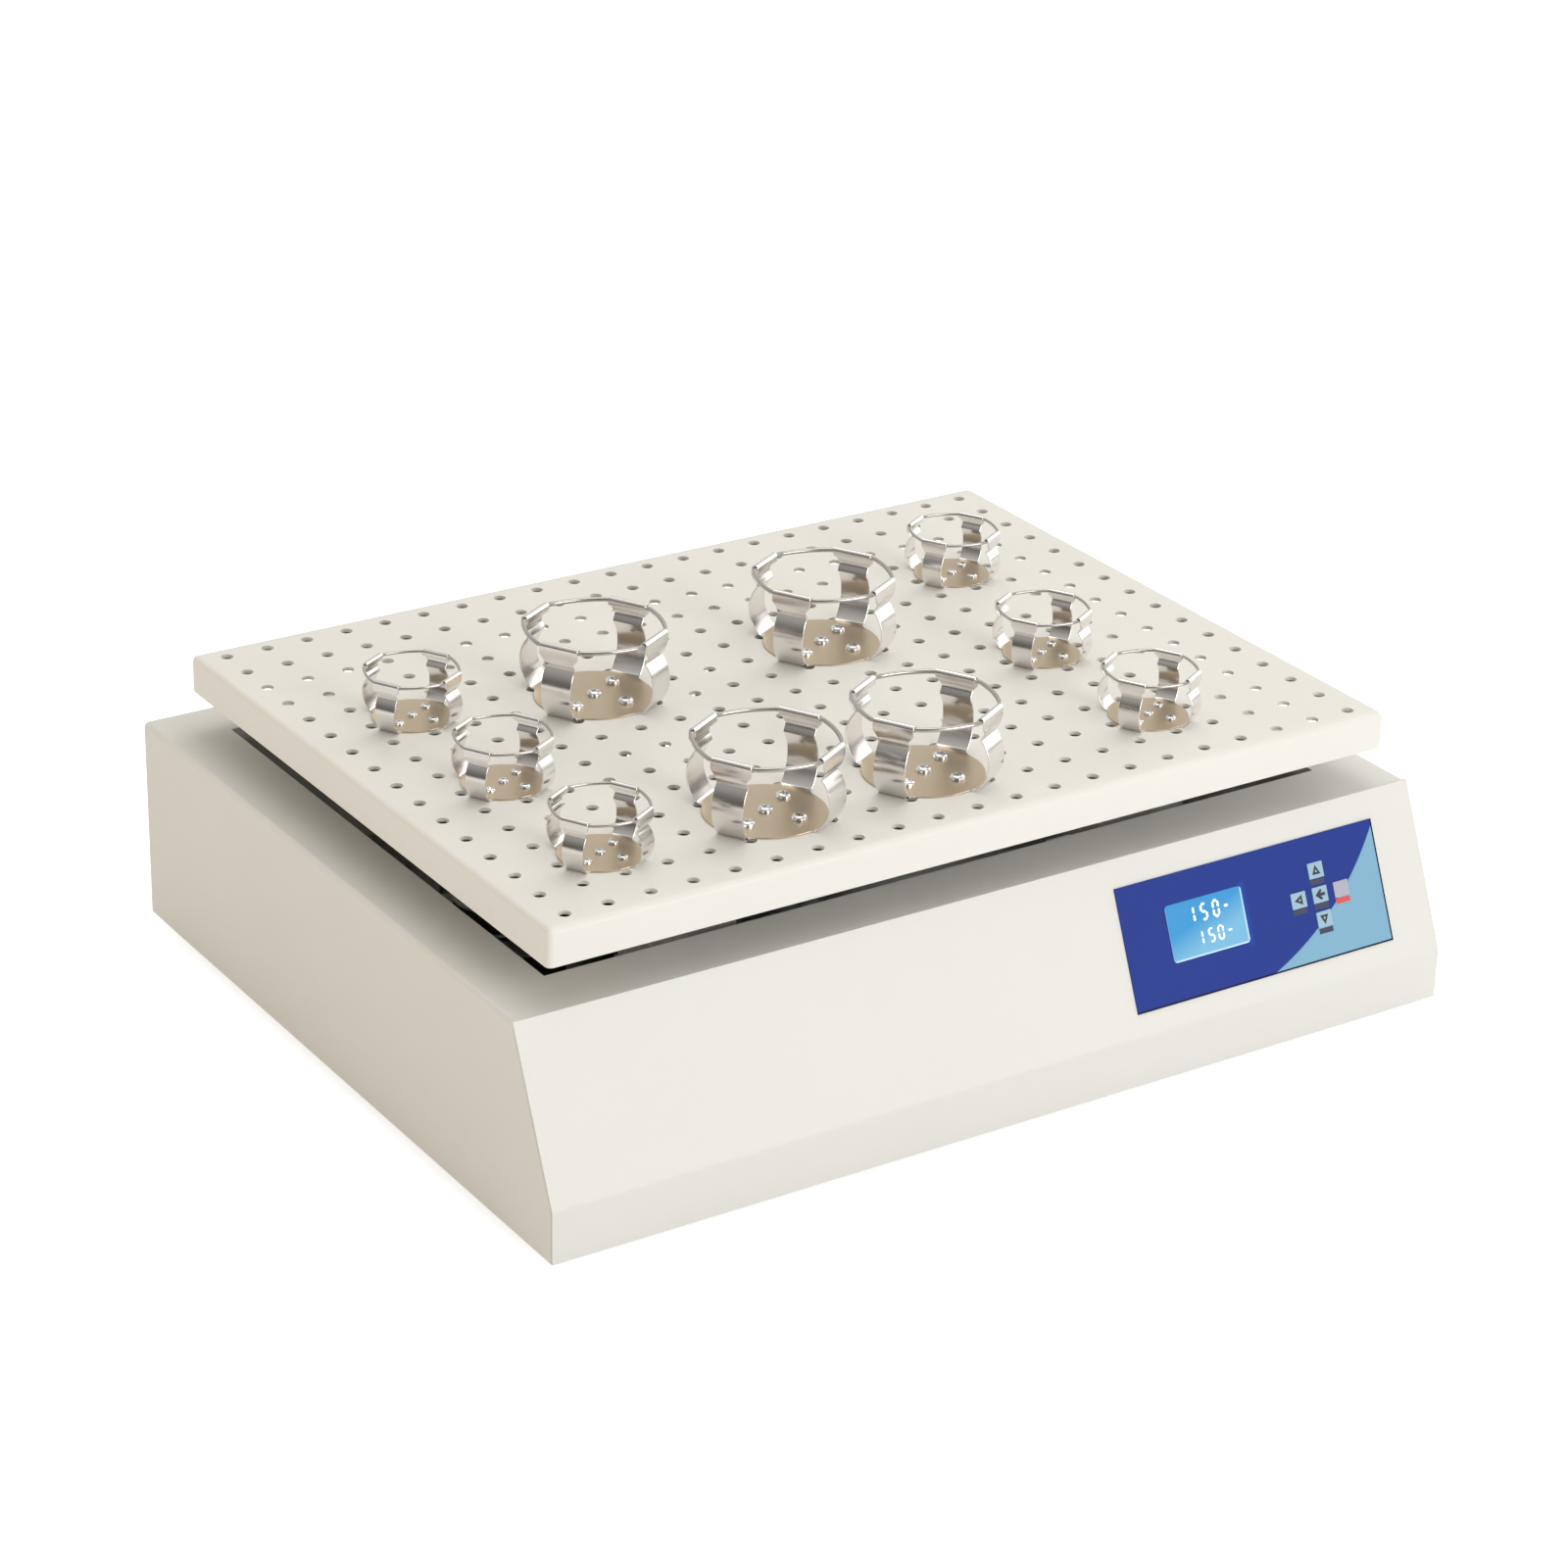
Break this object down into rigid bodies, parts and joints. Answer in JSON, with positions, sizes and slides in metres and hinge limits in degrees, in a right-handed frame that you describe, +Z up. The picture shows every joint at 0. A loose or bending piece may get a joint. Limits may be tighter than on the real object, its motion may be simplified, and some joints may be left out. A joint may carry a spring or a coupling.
{
  "type": "benchtop orbital shaker",
  "caption": "Benchtop orbital shaker with a perforated tray on an eccentric drive, spring clamps for flasks and a slanted control panel.",
  "frame": {"origin": "on the bench under the middle of the shaker's outer box", "axes": "+X along the front to the right, -Y towards the user, +Z up"},
  "size_m": [0.688, 0.561, 0.2601],
  "materials": {
    "cream_paint": "satin",
    "panel_film": "satin",
    "display_glass": "gloss",
    "key_plastic": "satin",
    "circuit_board": "satin",
    "zinc_steel": "satin",
    "spring_steel": "satin",
    "stainless_wire": "gloss",
    "aluminium": "satin",
    "black_rubber": "matt",
    "black_plastic": "satin",
    "motor_paint": "satin",
    "bearing_steel": "gloss"
  },
  "bodies": {
    "base": {"housing_cover": "cream_paint", "front_panel": "cream_paint", "base_pan": "zinc_steel", "base_frame": "cream_paint", "rubber_feet": "black_rubber", "cover_screws": "zinc_steel", "control_overlay": "panel_film", "display_window": "display_glass", "lcd_module": "black_plastic", "control_board": "circuit_board", "power_inlet": "black_plastic", "rocker_frame": "black_plastic", "power_supply": "zinc_steel", "motor": "motor_paint", "motor_bracket": "zinc_steel", "spindle_housing": "aluminium", "spindle_bearings": "bearing_steel", "idler_housings": "aluminium", "drive_belt": "black_rubber"},
    "spindle": {"eccentric_spindle": "bearing_steel", "drive_pulley": "aluminium", "counterweight": "zinc_steel"},
    "carriage": {"carriage_frame": "cream_paint", "carriage_bearing": "bearing_steel", "tray_rails": "zinc_steel", "tray": "cream_paint", "tray_bolts": "zinc_steel", "clamp_screws": "zinc_steel", "large_clamp_1": "spring_steel", "large_clamp_2": "spring_steel", "large_clamp_3": "spring_steel", "large_clamp_4": "spring_steel", "large_ring_1": "stainless_wire", "large_ring_2": "stainless_wire", "large_ring_3": "stainless_wire", "large_ring_4": "stainless_wire", "small_clamp_1": "spring_steel", "small_clamp_2": "spring_steel", "small_clamp_3": "spring_steel", "small_clamp_4": "spring_steel", "small_clamp_5": "spring_steel", "small_clamp_6": "spring_steel", "small_ring_1": "stainless_wire", "small_ring_2": "stainless_wire", "small_ring_3": "stainless_wire", "small_ring_4": "stainless_wire", "small_ring_5": "stainless_wire", "small_ring_6": "stainless_wire"},
    "motor_rotor": {"motor_pulley": "aluminium"},
    "rocker": {"rocker_switch": "black_plastic"},
    "idler_1": {"idler_crank_1": "bearing_steel"},
    "idler_2": {"idler_crank_2": "bearing_steel"},
    "idler_3": {"idler_crank_3": "bearing_steel"},
    "idler_4": {"idler_crank_4": "bearing_steel"},
    "up_key": {"key_up": "key_plastic"},
    "left_key": {"key_left": "key_plastic"},
    "enter_key": {"key_enter": "key_plastic"},
    "run_key": {"key_run": "key_plastic"},
    "down_key": {"key_down": "key_plastic"}
  },
  "joints": [
    {"name": "drive_spin", "type": "hinge", "parent": "base", "child": "spindle", "pos_m": [0, 0.016, 0.08], "axis": [0, 0, 1], "continuous": true},
    {"name": "carriage_orbit", "type": "hinge", "parent": "spindle", "child": "carriage", "pos_m": [0, 0.006, 0.128], "axis": [0, 0, 1], "continuous": true},
    {"name": "motor_spin", "type": "hinge", "parent": "base", "child": "motor_rotor", "pos_m": [-0.215, 0.016, 0.08], "axis": [0, 0, 1], "continuous": true},
    {"name": "idler_1_spin", "type": "hinge", "parent": "base", "child": "idler_1", "pos_m": [-0.17, -0.124, 0.08], "axis": [0, 0, 1], "continuous": true},
    {"name": "idler_2_spin", "type": "hinge", "parent": "base", "child": "idler_2", "pos_m": [0.17, -0.124, 0.08], "axis": [0, 0, 1], "continuous": true},
    {"name": "idler_3_spin", "type": "hinge", "parent": "base", "child": "idler_3", "pos_m": [-0.17, 0.156, 0.08], "axis": [0, 0, 1], "continuous": true},
    {"name": "idler_4_spin", "type": "hinge", "parent": "base", "child": "idler_4", "pos_m": [0.17, 0.156, 0.08], "axis": [0, 0, 1], "continuous": true},
    {"name": "up_press", "type": "slide", "parent": "base", "child": "up_key", "axis": [0, 0.9171, -0.3986], "range_m": [0, 0.0004], "stiffness_N_per_m": 1500},
    {"name": "left_press", "type": "slide", "parent": "base", "child": "left_key", "axis": [0, 0.9171, -0.3986], "range_m": [0, 0.0004], "stiffness_N_per_m": 1500},
    {"name": "enter_press", "type": "slide", "parent": "base", "child": "enter_key", "axis": [0, 0.9171, -0.3986], "range_m": [0, 0.0004], "stiffness_N_per_m": 1500},
    {"name": "run_press", "type": "slide", "parent": "base", "child": "run_key", "axis": [0, 0.9171, -0.3986], "range_m": [0, 0.0004], "stiffness_N_per_m": 1500},
    {"name": "down_press", "type": "slide", "parent": "base", "child": "down_key", "axis": [0, 0.9171, -0.3986], "range_m": [0, 0.0004], "stiffness_N_per_m": 1500},
    {"name": "rocker_toggle", "type": "hinge", "parent": "base", "child": "rocker", "pos_m": [0.205, 0.2735, 0.052], "axis": [1, 0, 0], "range_deg": [-24, 0]}
  ],
  "couplings": [
    {"joint": "carriage_orbit", "follows": "drive_spin", "ratio": -1},
    {"joint": "motor_spin", "follows": "drive_spin", "ratio": 3},
    {"joint": "idler_1_spin", "follows": "drive_spin", "ratio": 1},
    {"joint": "idler_2_spin", "follows": "drive_spin", "ratio": 1},
    {"joint": "idler_3_spin", "follows": "drive_spin", "ratio": 1},
    {"joint": "idler_4_spin", "follows": "drive_spin", "ratio": 1}
  ]
}
